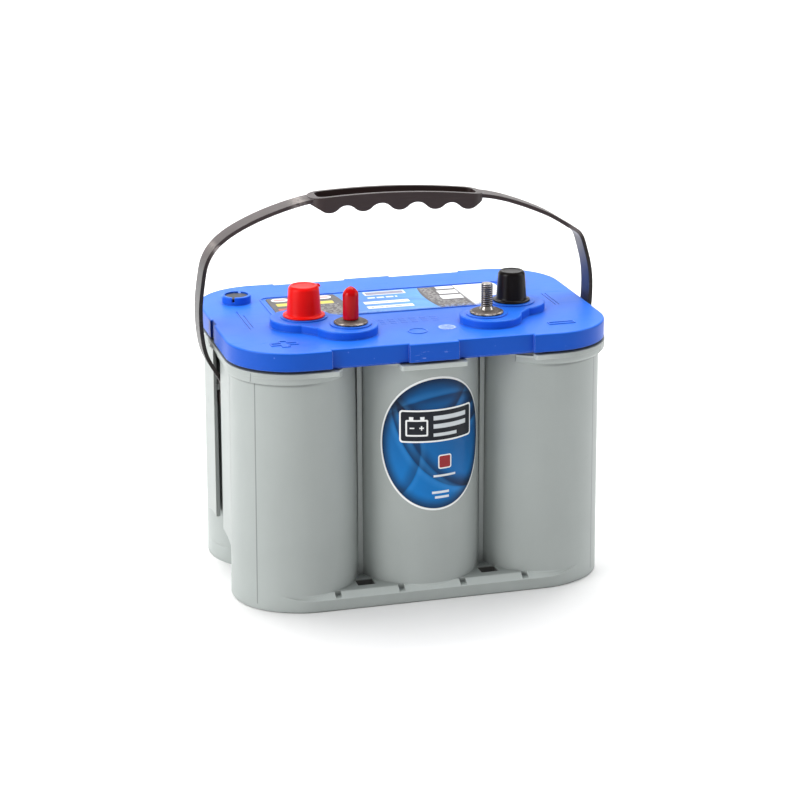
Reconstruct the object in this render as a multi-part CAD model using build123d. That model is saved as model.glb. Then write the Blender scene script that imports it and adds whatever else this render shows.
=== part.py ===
from build123d import *
import math
import os

# Deep cycle battery with six spiral-wound cells, all sizes in millimetres.
# +X runs along the length, +Y to the back and +Z up.
# The origin is the centre of the underside, on the surface that the battery stands on.

# ---------------------------------------------------------------- driving dimensions

# Cells: three along the length, two across the width.
pitch_x = 83.5
pitch_y = 82.4
cell_foot_radius = 42.4
cell_head_radius = 41.3
bore_radius = 39.3
cell_columns = (-pitch_x, 0.0, pitch_x)
cell_rows = (-pitch_y / 2, pitch_y / 2)

# Case heights
floor_top = 4.0
ledge_face_top = 8.0
ledge_top = 11.3
partition_top = 155.0
collar_bottom = 155.4
rim_bottom = 160.2
case_top = 163.3

# Footprint of the base and of the rim under the cover
base_length = 251.0
base_width = 172.0
base_corner = 48.0
end_recess_start = 108.0
foot_chamfer = 0.8
rim_length = 256.0
rim_width = 175.2
rim_corner = 43.8

# Cover
cover_length = 255.0
cover_width = 173.2
cover_corner = 43.3
cover_top = 177.0
skirt_bottom = 165.0
cover_wall = 3.0
boss_top = 182.2
pad_top = 183.0
side_recess_start = 16.5
side_recess_end = 67.0
side_recess_depth = 3.0
strap_notch_half = 5.5
strap_notch_depth = 1.5

# Terminals, alike at both ends, and the bosses of the cover that carry them
post_x = 71.2
post_y = -21.0
stud_x = 46.0
stud_y = -46.3
terminal_shift = 1.0
positive_riser_y = -24.0
negative_riser_y = 20.0
boss_radius = 20.5
boss_post_out = 2.0
boss_stud_out = 2.8
bridge_half_width = 17.0
post_height = 17.5
post_taper = 1.0
positive_post_top_radius = 8.75
negative_post_top_radius = 7.95
stud_radius = 3.97
stud_top = 203.0
stud_neck_top = 187.2

# Raised polarity marks
mark_x = 93.0
mark_y = -63.5

# Caps
positive_side = -1
negative_side = 1
cap_gap = 0.15
lift_gap = 0.1

# Vent rings at the rear corners
vent_left_x = -101.5
vent_right_x = 94.0
vent_y = 45.5
vent_radius = 9.7
vent_top = 182.3
vent_disc_radius = 8.0

# Carry handle
strap_width = 16.0
strap_thickness = 2.6
handle_tilt = 1.8
flank_lean = -1.3
grip_half_length = 59.5
grip_shift = -2.2
grip_corner = 9.5
grip_overrun = 2.0
grip_width = 23.0
grip_crown = 259.0
grip_sag = 3.3
lobe_centres = (46.8, 24.3, 0.0, -24.3, -46.8)
outer_lobe_rise = 1.1
lobe_half = 5.4
lobe_depth = 11.9
lobe_join_depth = 10.0
arch_depth = 6.8
end_arch_depth = 6.2
grip_end_depth = 3.0
trough_depth = 4.6
trough_half_length = 54.5
grip_wall = 2.8
core_wall = 1.4
foot_x = 120.3
foot_width = 31.0
foot_thickness = 3.4
foot_top = 126.0
foot_bottom = 117.0

# End guides that the handle's feet slide in
guide_face_low = 125.95
guide_face_high = 124.9
guide_inner_face = 122.9
guide_slot_half = 12.0
guide_bottom_middle = 36.5
guide_bottom_side = 31.0
channel_back = 118.0
end_collar_face = 127.0

# Plates and separators
winding_turn_halves = 9
winding_start = 5.2
winding_step = 3.4
positive_thickness = 2.2
negative_thickness = 2.0
separator_thickness = 1.05
winding_gap = 0.125
plate_bottom = 9.0
plate_top = 138.0
separator_bottom = 6.0
separator_top = 141.0
bar_bottom = 146.0
bar_top = 152.0
bar_width = 8.0
link_offset = 10.0
link_start = 15.0
lug_reach = 22.0

# Inner lid and relief valves
lid_top = 158.0
nipple_top = 163.5
nipple_radius = 4.0
valve_radius = 6.0
valve_top = 165.5


# ---------------------------------------------------------------- helpers

def block(x0, x1, y0, y1, z0, z1):
    """Box between two corners, given as pairs along X, Y and Z."""
    box = Box(x1 - x0, y1 - y0, z1 - z0)
    return Pos((x0 + x1) / 2, (y0 + y1) / 2, (z0 + z1) / 2) * box


def post(x, y, z0, z1, radius):
    """Upright cylinder from z0 to z1."""
    return Pos(x, y, (z0 + z1) / 2) * Cylinder(radius, z1 - z0)


def taper(x, y, z0, z1, low_radius, high_radius):
    """Upright cone frustum from z0 to z1."""
    return Pos(x, y, (z0 + z1) / 2) * Cone(low_radius, high_radius, z1 - z0)


def rounded_slab(length, width, radius, z0, z1):
    """Rounded rectangle about the Z axis, from z0 to z1."""
    return extrude(Pos(0, 0, z0) * RectangleRounded(length, width, radius), z1 - z0)


def turned(x, y, points):
    """Solid of revolution about the upright axis at x, y, from (radius, z) points."""
    face = Plane.XZ * make_face(Polyline(*points, close=True))
    return Pos(x, y, 0) * revolve(face, Axis.Z)


def post_at(side):
    """X of the post at one end."""
    return side * post_x + terminal_shift


def stud_at(side):
    """X of the stud at one end."""
    return side * stud_x + terminal_shift


def cells():
    """Centres of the six cells in series order, from the positive end to the negative end."""
    front, back = cell_rows
    left, middle, right = cell_columns
    return [(left, front), (left, back), (middle, back), (middle, front), (right, front), (right, back)]


def save(name, shape):
    """Write one node's STEP file."""
    export_step(shape, f"parts/{name}.step")


# ---------------------------------------------------------------- case

def end_guides(side):
    """Pair of slotted guide plates that bridge the valley at one end, and the channel's back."""
    x_out = guide_face_low
    x_in = guide_inner_face
    reach = pitch_y / 2
    # The outer face leans in with the taper of the cylinders that it joins.
    lean = (guide_face_low - guide_face_high) / case_top
    section = make_face(Polyline(
        (x_in, 20.0), (x_out - 20.0 * lean, 20.0), (x_out - rim_bottom * lean, rim_bottom),
        (x_in, rim_bottom), close=True))
    plates = Pos(0, reach, 0) * extrude(Plane.XZ * section, 2 * reach)
    plates -= block(x_in - 1, x_out + 1, -guide_slot_half, guide_slot_half, 10.0, case_top)
    # The bottom edge is a shallow arch, higher at the slot.
    arch_start = (guide_slot_half, guide_bottom_middle)
    arch_end = (reach + 4.0, guide_bottom_side)
    arch_middle = ((arch_start[0] + arch_end[0]) / 2 + 3.0, guide_bottom_middle - 1.2)
    for row in (-1, 1):
        arch = ThreePointArc(*[(row * y, z) for y, z in (arch_start, arch_middle, arch_end)])
        below = Polyline((row * arch_end[0], guide_bottom_side), (row * arch_end[0], 0), (row * 5.0, 0),
                         (row * 5.0, guide_bottom_middle), (row * arch_start[0], guide_bottom_middle))
        profile = make_face(arch + below)
        plates -= Pos(x_out + 5, 0, 0) * extrude(Plane.YZ * profile, -20.0)
    back = block(channel_back - 2.2, channel_back, -20.0, 20.0, guide_bottom_middle - 6, rim_bottom)
    stops = block(channel_back - 1, x_in + 0.5, guide_slot_half + 0.5, 17.0, foot_top + 0.4, foot_top + 4.4)
    stops += mirror(stops, Plane.XZ)
    guides = plates + back + stops
    return guides if side > 0 else mirror(guides, Plane.YZ)


def collar(side, row):
    """Flared bell under the rim round one end cylinder, fading out along the front."""
    shift = 2.2
    centre_x = pitch_x + shift
    centre_y = pitch_y / 2 + shift
    bell = turned(centre_x, centre_y, [
        (cell_head_radius - 3.0, collar_bottom), (cell_head_radius - 0.6, collar_bottom),
        (cell_head_radius + 0.9, collar_bottom + 1.8), (cell_head_radius + 1.3, collar_bottom + 3.4),
        (cell_head_radius + 1.5, 161.6), (cell_head_radius - 3.0, 161.6)])
    end_band = Plane.XZ * make_face(Polyline(
        (guide_inner_face, collar_bottom), (guide_face_high + 0.2, collar_bottom),
        (end_collar_face - 0.2, collar_bottom + 1.8), (end_collar_face, 161.6), (guide_inner_face, 161.6),
        close=True))
    bell += Pos(0, centre_y, 0) * extrude(end_band, centre_y - guide_slot_half)
    bell &= block(58.0, 140.0, guide_slot_half, 100.0, 150.0, 162.0)
    bell &= rounded_slab(rim_length, rim_width, rim_corner, 150.0, 162.0)
    if side < 0:
        bell = mirror(bell, Plane.YZ)
    return bell if row > 0 else mirror(bell, Plane.XZ)


def rim():
    """Flat ledge under the cover: four corner stretches and a middle tab on each long side."""
    outline = rounded_slab(rim_length, rim_width, rim_corner, rim_bottom, case_top)
    tab_half = 22.0
    keep = Pos(0, 0, rim_bottom) * RectangleRounded(2 * tab_half, rim_width, 1.4)
    for side, corner_start in ((-1, 62.5), (1, 68.0)):
        span = 80.0
        centre = side * (corner_start + span / 2)
        keep += Pos(centre, 0, rim_bottom) * RectangleRounded(span, rim_width, 1.4)
    ledge = outline & extrude(keep, case_top - rim_bottom)
    return ledge - block(-pitch_x, pitch_x, -pitch_y / 2, pitch_y / 2, 150.0, 170.0)


def base():
    """Base plate whose two long sides carry the sloped hold-down ledge."""
    half = base_width / 2
    slope_in = 5.0
    section = make_face(Polyline(
        (-half, 0), (-half, ledge_face_top), (-half + slope_in, ledge_top), (half - slope_in, ledge_top),
        (half, ledge_face_top), (half, 0), close=True))
    bar = Pos(-base_length / 2, 0, 0) * extrude(Plane.YZ * section, base_length)
    plate = bar & rounded_slab(base_length, base_width, base_corner, 0, ledge_top)
    plate = chamfer(plate.edges().filter_by_position(Axis.Z, -0.01, 0.01), foot_chamfer)
    # At each end the base follows the two cylinders, so the valley between them runs down to the floor.
    for side in (-1, 1):
        recess = block(end_recess_start, base_length, -pitch_y / 2, pitch_y / 2, -1, ledge_top + 1)
        for row in cell_rows:
            recess -= post(pitch_x, row, -2, ledge_top + 2, cell_foot_radius + 0.1)
        plate -= recess if side > 0 else mirror(recess, Plane.YZ)
    for side in (-1, 1):
        for row in (-1, 1):
            plate -= block(side * 42.4 - 6.0, side * 42.4 + 6.0, row * 68.7 - 5.5, row * 68.7 + 5.5, -1, 20)
            slit_y = row * (half - 3.0)
            for x in (21.0, 64.0):
                plate -= block(side * x - 2.2, side * x + 2.2, slit_y - 2.2, slit_y + 4.0, ledge_face_top + 0.4, 20)
    return plate


def make_case():
    shell = block(-pitch_x, pitch_x, -pitch_y / 2, pitch_y / 2, 0.5, case_top)
    for x, y in cells():
        shell += taper(x, y, 0.5, case_top, cell_foot_radius, cell_head_radius)
    # A narrow web closes the bottom of each valley along the long sides.
    for x in (-pitch_x / 2, pitch_x / 2):
        shell += block(x - 1.6, x + 1.6, -54.5, 54.5, 1.0, rim_bottom)
    shell += base()
    shell += rim()
    for side in (-1, 1):
        shell += end_guides(side)
        for row in (-1, 1):
            shell += collar(side, row)
    for x, y in cells():
        shell -= post(x, y, floor_top, case_top + 1, bore_radius)
    shell -= block(-pitch_x, pitch_x, -pitch_y / 2, pitch_y / 2, partition_top, case_top + 1)
    # Windows that let the cell links cross the partitions.
    for start, end in link_ends():
        middle = ((start[0] + end[0]) / 2, (start[1] + end[1]) / 2)
        reach = 14.0
        along_x = abs(end[0] - start[0]) > abs(end[1] - start[1])
        half_x = reach if along_x else bar_width / 2 + 0.2
        half_y = bar_width / 2 + 0.2 if along_x else reach
        shell -= block(middle[0] - half_x, middle[0] + half_x, middle[1] - half_y, middle[1] + half_y,
                       bar_bottom - 0.2, partition_top + 1)
    # Coring pockets between each four cells, open at the underside.
    for x in (-pitch_x / 2, pitch_x / 2):
        shell -= post(x, 0, -1, 120, 11.5)
    return shell


# ---------------------------------------------------------------- cover

def terminal_boss_outline(side, grow):
    """Keyhole outline round one post and its stud, offset inwards by a negative grow."""
    # Each circle sits a little further out than the terminal that it carries.
    post_centre = post_at(side) + side * boss_post_out
    stud_centre = stud_at(side) + side * boss_stud_out
    post_circle = Pos(post_centre, post_y) * Circle(boss_radius + grow)
    stud_circle = Pos(stud_centre, stud_y) * Circle(boss_radius + grow)
    # The bridge between the circles follows their line of centres.
    dx = post_centre - stud_centre
    dy = post_y - stud_y
    angle = math.degrees(math.atan2(dy, dx))
    middle = Pos((post_centre + stud_centre) / 2, (post_y + stud_y) / 2) * Rot(0, 0, angle)
    bridge = middle * Rectangle(math.hypot(dx, dy), 2 * (bridge_half_width + grow))
    return post_circle + stud_circle + bridge


def cover_outline():
    """Plan of the cover, with the shallow recesses along both long sides and the strap relief."""
    plan = RectangleRounded(cover_length, cover_width, cover_corner)
    recess_length = side_recess_end - side_recess_start
    for side in (-1, 1):
        for row in (-1, 1):
            centre_x = side * (side_recess_start + recess_length / 2)
            plan -= Pos(centre_x, row * cover_width / 2) * Rectangle(recess_length, 2 * side_recess_depth)
    # Shallow relief beside the strap at the positive end.
    return plan - Pos(-cover_length / 2, 0) * Rectangle(2 * strap_notch_depth, 2 * strap_notch_half)


def make_cover():
    plan = cover_outline()
    body = extrude(Pos(0, 0, skirt_bottom) * plan, cover_top - skirt_bottom)
    rim_edges = body.edges().group_by(Axis.Z)[-1]
    body = fillet(rim_edges, 1.3)
    inside = rounded_slab(cover_length - 14, cover_width - 14, cover_corner - 7,
                          skirt_bottom - 3, cover_top - cover_wall)
    # A spigot below the skirt locates the cover on the case and leaves a dark seam line.
    spigot = rounded_slab(cover_length - 9, cover_width - 12.5, cover_corner - 4.5, case_top, skirt_bottom)
    for side in (-1, 1):
        spigot -= block(side * 125.0 - 7.0, side * 125.0 + 7.0, -15.0, 15.0, 160.0, 170.0)
    body += spigot
    for side in (-1, 1):
        boss = extrude(Pos(0, 0, cover_top - 1) * terminal_boss_outline(side, 0), boss_top - cover_top + 1)
        boss = fillet(boss.edges().group_by(Axis.Z)[-1], 0.9)
        body += boss
        body += post(post_at(side), post_y, boss_top - 1, pad_top, 15.6)
        body += post(stud_at(side), stud_y, boss_top - 1, pad_top, 13.6)
    for x in (vent_left_x, vent_right_x):
        ring = post(x, vent_y, cover_top - 1, vent_top, vent_radius)
        body += chamfer(ring.edges().group_by(Axis.Z)[-1], 0.5)
    body -= inside
    for side in (-1, 1):
        hollow = terminal_boss_outline(side, -3.0)
        body -= extrude(Pos(0, 0, cover_top - cover_wall - 1) * hollow, boss_top - cover_top + 1.0)
        body -= post(post_at(side), post_y, 160, 200, 9.3)
        body -= post(stud_at(side), stud_y, 160, 200, 8.3)
    for x, turn in ((vent_left_x, -25.0), (vent_right_x, 25.0)):
        body -= post(x, vent_y, cover_top + 0.2, vent_top + 1, vent_disc_radius + 0.05)
        body -= post(x, vent_y, 160, 200, 3.0)
        body -= Pos(x, vent_y, vent_top - 1.6) * Rot(0, 0, turn) * Box(1.9, 2 * vent_radius + 2, 3.4)
    body += moulded_marks()
    body -= moulded_grooves()
    return body


def moulded_marks():
    """Low raised lines: the border round the top label and a ring at the front."""
    z0 = cover_top - 0.5
    z1 = cover_top + 0.45
    border = Pos(0, 21.0, z0) * (RectangleRounded(172, 58, 6) - RectangleRounded(169.6, 55.6, 4.8))
    # Only the ends and the back of the border stand clear of the terminal bosses.
    marks = extrude(border, z1 - z0)
    for side in (-1, 1):
        marks -= extrude(Pos(0, 0, z0 - 1) * terminal_boss_outline(side, 0.5), 5)
    marks -= post(vent_right_x, vent_y, z0 - 1, z1 + 1, vent_radius - 0.3)
    ring = Circle(6.4) - Circle(5.6)
    marks += extrude(Pos(-3.0, -57.0, z0) * ring, 0.8)
    return marks + polarity_mark(positive_side, z0, z1) + polarity_mark(negative_side, z0, z1)


def polarity_mark(side, z0, z1):
    """Outline of a plus at the positive end and of a minus at the negative end."""
    line = 0.8
    length = 18.0
    height = 14.0
    arm = 5.4
    outer = Rectangle(length, arm)
    inner = Rectangle(length - 2 * line, arm - 2 * line)
    if side == positive_side:
        outer += Rectangle(arm, height)
        inner += Rectangle(arm - 2 * line, height - 2 * line)
    return extrude(Pos(side * mark_x, mark_y, z0) * (outer - inner), z1 - z0)


def moulded_grooves():
    """Shallow grooves: a double line at each end of the cover."""
    grooves = block(-107.2, -106.4, -24.0, 21.0, cover_top - 0.4, cover_top + 1)
    for x in (-104.6, 103.6, 106.2):
        grooves += block(x, x + 0.8, -20.0, 10.0, cover_top - 0.4, cover_top + 1)
    return grooves


# ---------------------------------------------------------------- terminals

def make_terminal(side, top_radius, riser_y):
    """Lead casting: riser from the end bar, bridge under the cover, tapered post and stud pad."""
    bridge_low = 167.0
    bridge_high = 172.0
    casting = post(post_at(side), riser_y, bar_top, bridge_high, 6.0)
    casting += post(post_at(side), post_y, bridge_low, pad_top, 9.0)
    low_radius = top_radius + post_taper
    casting += taper(post_at(side), post_y, pad_top, pad_top + post_height, low_radius, top_radius)
    casting = chamfer(casting.edges().group_by(Axis.Z)[-1], 0.8)
    casting += post(stud_at(side), stud_y, bridge_low, pad_top + 0.05, 8.0)
    casting += turned(stud_at(side), stud_y, [
        (0, pad_top + 0.02), (10.9, pad_top + 0.02), (11.1, pad_top + 0.9), (8.8, pad_top + 2.0),
        (6.2, pad_top + 2.5), (0, pad_top + 2.5)])
    angle = math.degrees(math.atan2(post_y - stud_y, post_at(side) - stud_at(side)))
    length = math.hypot(post_x - stud_x, post_y - stud_y)
    centre = Pos((post_at(side) + stud_at(side)) / 2, (post_y + stud_y) / 2, (bridge_low + bridge_high) / 2)
    casting += centre * Rot(0, 0, angle) * Box(length, 11.0, bridge_high - bridge_low)
    if riser_y > post_y:
        casting += block(post_at(side) - 5.5, post_at(side) + 5.5, post_y, riser_y, bridge_low, bridge_high)
    return casting - stud_body(side)


def stud_body(side):
    """Stainless stud: hexagon head cast into the pad, conical neck and plain thread diameter."""
    x = stud_at(side)
    head = extrude(Pos(x, stud_y, 176.0) * RegularPolygon(6.2, 6), 4.5)
    shank = post(x, stud_y, 180.0, stud_neck_top, stud_radius)
    neck = taper(x, stud_y, pad_top + 2.0, stud_neck_top, 5.0, stud_radius)
    thread = post(x, stud_y, stud_neck_top, stud_top, stud_radius)
    thread = chamfer(thread.edges().group_by(Axis.Z)[-1], 0.9)
    return head + shank + neck + thread


# ---------------------------------------------------------------- caps

def make_post_cap(side, post_top_radius, brim_radius, wall, base_z):
    """Push-on cap: thin brim, tapered body and closed top with a soft dish."""
    low_inner = post_top_radius + post_taper + cap_gap
    high_inner = post_top_radius + cap_gap
    low_outer = low_inner + wall
    high_outer = high_inner + wall - 0.15
    top = base_z + 20.4
    inner_top = pad_top + post_height + 0.9
    outline = [
        (0, base_z), (brim_radius, base_z), (brim_radius, base_z + 0.9), (low_outer + 0.3, base_z + 1.3),
        (low_outer, base_z + 2.0), (high_outer, top - 1.6), (high_outer - 0.5, top - 0.5),
        (high_outer - 1.6, top), (high_outer - 3.2, top), (0, top - 0.5)]
    shell = turned(post_at(side), post_y, outline)
    hollow = turned(post_at(side), post_y, [
        (0, base_z - 1), (low_inner, base_z - 1), (low_inner, base_z), (high_inner, inner_top), (0, inner_top)])
    return shell - hollow


def make_stud_cap(side):
    """Dipped cap over the stud: straight sleeve with a blunt conical tip."""
    base_z = pad_top + 2.5 + lift_gap
    outer = 5.25
    inner = 4.25
    shell = turned(stud_at(side), stud_y, [
        (0, base_z), (outer - 0.05, base_z), (outer, base_z + 0.6), (outer, 202.2), (outer - 0.5, 203.6),
        (3.1, 205.9), (1.8, 206.9), (0, 207.3)])
    hollow = turned(stud_at(side), stud_y, [
        (0, base_z - 1), (4.95, base_z - 1), (4.95, base_z), (inner, stud_neck_top + 0.6), (inner, 203.3),
        (2.5, 204.8), (0, 205.2)])
    return shell - hollow


# ---------------------------------------------------------------- handle

def strap_side(side):
    """Centre line of the strap on one side, from the grip's end to the foot, as (x, z) points."""
    lift = math.tan(math.radians(handle_tilt))
    shoulder = [(70.0, 251.5), (84.0, 247.2), (96.0, 242.6), (107.0, 237.4), (117.0, 231.4)]
    start = side * 56.0 + grip_shift
    points = [(start, 254.2 - start * lift)] + [(side * x, z - side * x * lift) for x, z in shoulder]
    drop = 2.4 * side
    points += [(side * 125.6 + flank_lean / 2, 224.4 - drop), (side * 129.8 + flank_lean, 216.0 - drop),
               (side * 132.6 + flank_lean, 204.5 - drop / 2)]
    flank = [(134.4, 192.0), (134.7, 180.0), (133.8, 167.0), (131.2, 155.6)]
    points += [(side * x + flank_lean, z) for x, z in flank]
    points += [(side * 126.0 + flank_lean / 2, 144.6), (side * 121.8, 135.4)]
    points += [(side * foot_x, foot_top), (side * foot_x, foot_bottom + 1.0)]
    return points


def offset_line(points, distance):
    """Points moved square to the line through their neighbours."""
    moved = []
    for index, (x, z) in enumerate(points):
        x0, z0 = points[max(index - 1, 0)]
        x1, z1 = points[min(index + 1, len(points) - 1)]
        run = math.hypot(x1 - x0, z1 - z0)
        moved.append((x - distance * (z1 - z0) / run, z + distance * (x1 - x0) / run))
    return moved


def strap(side):
    """One side of the moulded strap, of even thickness."""
    line = strap_side(side)
    outer = offset_line(line, strap_thickness / 2)
    inner = offset_line(line, -strap_thickness / 2)
    profile = make_face([
        Spline(*outer), Line(outer[-1], inner[-1]), Spline(*inner), Line(inner[0], outer[0])])
    return Pos(0, strap_width / 2, 0) * extrude(Plane.XZ * profile, strap_width)


def crown(x):
    """Height of the grip's top edge at x, before the handle's tilt."""
    return grip_crown - grip_sag * (x / grip_half_length) ** 2


def on_crown(x, depth):
    """Point at a depth below the grip's top edge."""
    return (x, crown(x) - depth)


def grip_underside():
    """Arcs of the finger side, from right to left: five rounded lobes with an arch between each two."""
    arcs = []
    reach = grip_half_length + grip_overrun
    start = on_crown(reach, grip_end_depth)
    arch = on_crown((reach + lobe_centres[0] + lobe_half) / 2 - 0.6, end_arch_depth)
    for x, following in zip(lobe_centres, lobe_centres[1:] + (None,)):
        # The outer lobes hang down a little less.
        rise = outer_lobe_rise * (x / lobe_centres[0]) ** 2
        right = on_crown(x + lobe_half, lobe_join_depth - rise)
        left = on_crown(x - lobe_half, lobe_join_depth - rise)
        arcs.append(ThreePointArc(start, arch, right))
        arcs.append(ThreePointArc(right, on_crown(x, lobe_depth - rise), left))
        start = left
        if following is not None:
            arch = on_crown((x + following) / 2, arch_depth)
    last_arch = on_crown((start[0] - reach) / 2 + 0.6, end_arch_depth)
    arcs.append(ThreePointArc(start, last_arch, on_crown(-reach, grip_end_depth)))
    return arcs


def grip():
    """Finger grip: recessed trough along the top and five cored lobes below."""
    reach = grip_half_length + grip_overrun
    end_z = crown(reach)
    top = ThreePointArc((-reach, end_z), (0, crown(0)), (reach, end_z))
    ends = [Line((side * reach, end_z), on_crown(side * reach, grip_end_depth)) for side in (-1, 1)]
    profile = make_face([top] + ends + grip_underside())
    body = Pos(0, grip_width, 0) * extrude(Plane.XZ * profile, 2 * grip_width)
    body &= extrude(Pos(0, 0, 200) * RectangleRounded(2 * grip_half_length, grip_width, grip_corner), 100)
    # Trough with rounded ends, whose floor follows the crown.
    floor_z = end_z - trough_depth
    floor_arc = ThreePointArc((-reach, floor_z), (0, crown(0) - trough_depth), (reach, floor_z))
    roof = Polyline((reach, floor_z), (reach, 275), (-reach, 275), (-reach, floor_z))
    section = make_face([floor_arc] + roof.edges())
    recess = Pos(0, grip_width / 2, 0) * extrude(Plane.XZ * section, grip_width)
    trough = RectangleRounded(2 * trough_half_length, grip_width - 2 * grip_wall, 5.0)
    recess &= extrude(Pos(0, 0, 200) * trough, 100)
    body -= recess
    core_half_y = grip_width / 2 - grip_wall - 0.6
    for x in lobe_centres:
        core = block(x - lobe_half + core_wall, x + lobe_half - core_wall, -core_half_y, core_half_y, 230,
                     crown(x) - trough_depth - 2.4)
        body -= core
    return body


def make_handle():
    # The grip tilts about the height of its ends, so that it meets both sides of the strap.
    pivot = Pos(0, 0, crown(grip_half_length))
    handle = pivot * Rot(0, handle_tilt, 0) * pivot.inverse() * Pos(grip_shift, 0, 0) * grip()
    for side in (-1, 1):
        handle += strap(side)
        foot = Pos(side * foot_x, 0, (foot_bottom + foot_top) / 2) * Box(
            foot_thickness, foot_width, foot_top - foot_bottom)
        handle += chamfer(foot.edges().filter_by(Axis.X), 1.2)
    return handle


# ---------------------------------------------------------------- labels

def make_front_label():
    """Oval film wrapped on the middle front cell."""
    label_low = 61.8
    label_high = 153.6
    middle = (label_low + label_high) / 2
    slope = (cell_head_radius - cell_foot_radius) / (case_top - 0.5)
    low = cell_foot_radius + slope * (50.0 - 0.5)
    high = cell_foot_radius + slope * (156.0 - 0.5)
    film = taper(0, cell_rows[0], 50.0, 156.0, low + 0.25, high + 0.25)
    film -= taper(0, cell_rows[0], 50.0, 156.0, low, high)
    oval = Pos(2.0, -60, middle) * Rot(90, 0, 0) * Ellipse(33.6, (label_high - label_low) / 2)
    return film & extrude(oval, 40)


def make_top_label():
    """Flat film on the cover between the terminal bosses and the back."""
    film = extrude(Pos(-0.5, 20.5, cover_top) * RectangleRounded(163.0, 52.0, 3.0), 0.25)
    for side in (-1, 1):
        film -= extrude(Pos(0, 0, cover_top - 1) * terminal_boss_outline(side, 0.8), 5)
    return film


# ---------------------------------------------------------------- inside the cells

def link_ends():
    """Start and end of each bar that joins one cell's negative lugs to the next one's positive lugs."""
    order = cells()
    ends = []
    for (x0, y0), (x1, y1) in zip(order[:-1], order[1:]):
        if x0 == x1:
            x = x0 + (link_offset if x0 >= 0 else -link_offset)
            start = math.copysign(link_start, y1 - y0)
            ends.append(((x, y0 + start), (x, y1 - start)))
        else:
            y = y0 - math.copysign(link_offset, y0)
            ends.append(((x0 + link_start, y), (x1 - link_start, y)))
    return ends


def bar_between(start, end, z0, z1, width):
    """Straight bar in plan between two points that share an x or a y."""
    half = width / 2
    x0, x1 = sorted((start[0], end[0]))
    y0, y1 = sorted((start[1], end[1]))
    if x0 == x1:
        return block(x0 - half, x0 + half, y0, y1, z0, z1)
    return block(x0, x1, y0 - half, y0 + half, z0, z1)


def winding(inner, outer):
    """Plan of one spiral strip, made of half turns about two alternating centres."""
    edges = []
    for radius_offset in (inner, outer):
        for half_turn in range(winding_turn_halves):
            radius = winding_start + half_turn * winding_step + radius_offset
            centre = winding_step if half_turn % 2 else 0.0
            start = 180.0 if half_turn % 2 else 0.0
            edges.append(CenterArc((centre, 0), radius, start, 180.0))
    first = winding_start
    last = -winding_start - (winding_turn_halves - 1) * winding_step
    edges.append(Line((first + inner, 0), (first + outer, 0)))
    edges.append(Line((last - inner, 0), (last - outer, 0)))
    return make_face(edges)


def make_plate(strip, centre, lug_start, lug_end):
    """Spiral plate in one cell, with lugs that rise where it passes under its bar."""
    placed = Pos(centre[0], centre[1], 0) * strip
    plate = extrude(Pos(0, 0, plate_bottom) * placed, plate_top - plate_bottom)
    half = bar_width / 2 - 0.4
    x0, x1 = sorted((lug_start[0], lug_end[0]))
    y0, y1 = sorted((lug_start[1], lug_end[1]))
    if x0 == x1:
        zone = Pos(x0, (y0 + y1) / 2) * Rectangle(2 * half, y1 - y0)
    else:
        zone = Pos((x0 + x1) / 2, y0) * Rectangle(x1 - x0, 2 * half)
    lugs = extrude(Pos(0, 0, plate_top) * (placed & zone), bar_bottom - plate_top)
    return plate + lugs


def make_cells():
    gap = winding_gap
    positive_end = positive_thickness
    first_separator = (positive_end + gap, positive_end + gap + separator_thickness)
    negative = (first_separator[1] + gap, first_separator[1] + gap + negative_thickness)
    second_separator = (negative[1] + gap, negative[1] + gap + separator_thickness)
    positive_strip = winding(0, positive_end)
    negative_strip = winding(*negative)
    separator_strips = [winding(*first_separator), winding(*second_separator)]
    links = link_ends()
    # The end bars run from the outer cells' lugs to the foot of each terminal's riser.
    positive_end = ((-post_x, -36.0), (-post_x, -12.0))
    negative_end = ((post_x, 12.0), (post_x, 36.0))
    for index, centre in enumerate(cells()):
        number = index + 1
        if index == 0:
            positive_lug = positive_end
        else:
            start, end = links[index - 1]
            positive_lug = (end, towards(end, start, lug_reach))
        if index == len(links):
            negative_lug = negative_end
        else:
            start, end = links[index]
            negative_lug = (start, towards(start, end, lug_reach))
        save(f"positive_plate_{number}", make_plate(positive_strip, centre, *positive_lug))
        save(f"negative_plate_{number}", make_plate(negative_strip, centre, *negative_lug))
        foot = Pos(centre[0], centre[1], separator_bottom)
        mats = [extrude(foot * strip, separator_top - separator_bottom) for strip in separator_strips]
        save(f"separator_{number}", Compound(children=mats))
    for index, (start, end) in enumerate(links):
        save(f"cell_link_{index + 1}", bar_between(start, end, bar_bottom, bar_top, bar_width))
    save("positive_end_bar", bar_between(*positive_end, bar_bottom, bar_top, bar_width))
    save("negative_end_bar", bar_between(*negative_end, bar_bottom, bar_top, bar_width))


def towards(start, end, distance):
    """Point at a distance from start, in the direction of end."""
    length = math.hypot(end[0] - start[0], end[1] - start[1])
    share = distance / length
    return (start[0] + (end[0] - start[0]) * share, start[1] + (end[1] - start[1]) * share)


def make_inner_lid():
    """Lid sealed over the partitions, with a vent nipple over each cell."""
    lid = block(-pitch_x + 0.3, pitch_x - 0.3, -pitch_y / 2 + 0.3, pitch_y / 2 - 0.3, partition_top, lid_top)
    for x, y in cells():
        lid += post(x, y, partition_top, lid_top, bore_radius - 0.3)
        lid += post(x, y, lid_top - 1, nipple_top, nipple_radius)
    for x, y in cells():
        lid -= post(x, y, partition_top - 1, nipple_top + 1, 1.8)
    lid -= post(post_at(positive_side), positive_riser_y, partition_top - 1, lid_top + 1, 6.2)
    lid -= post(post_at(negative_side), negative_riser_y, partition_top - 1, lid_top + 1, 6.2)
    return lid


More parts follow.
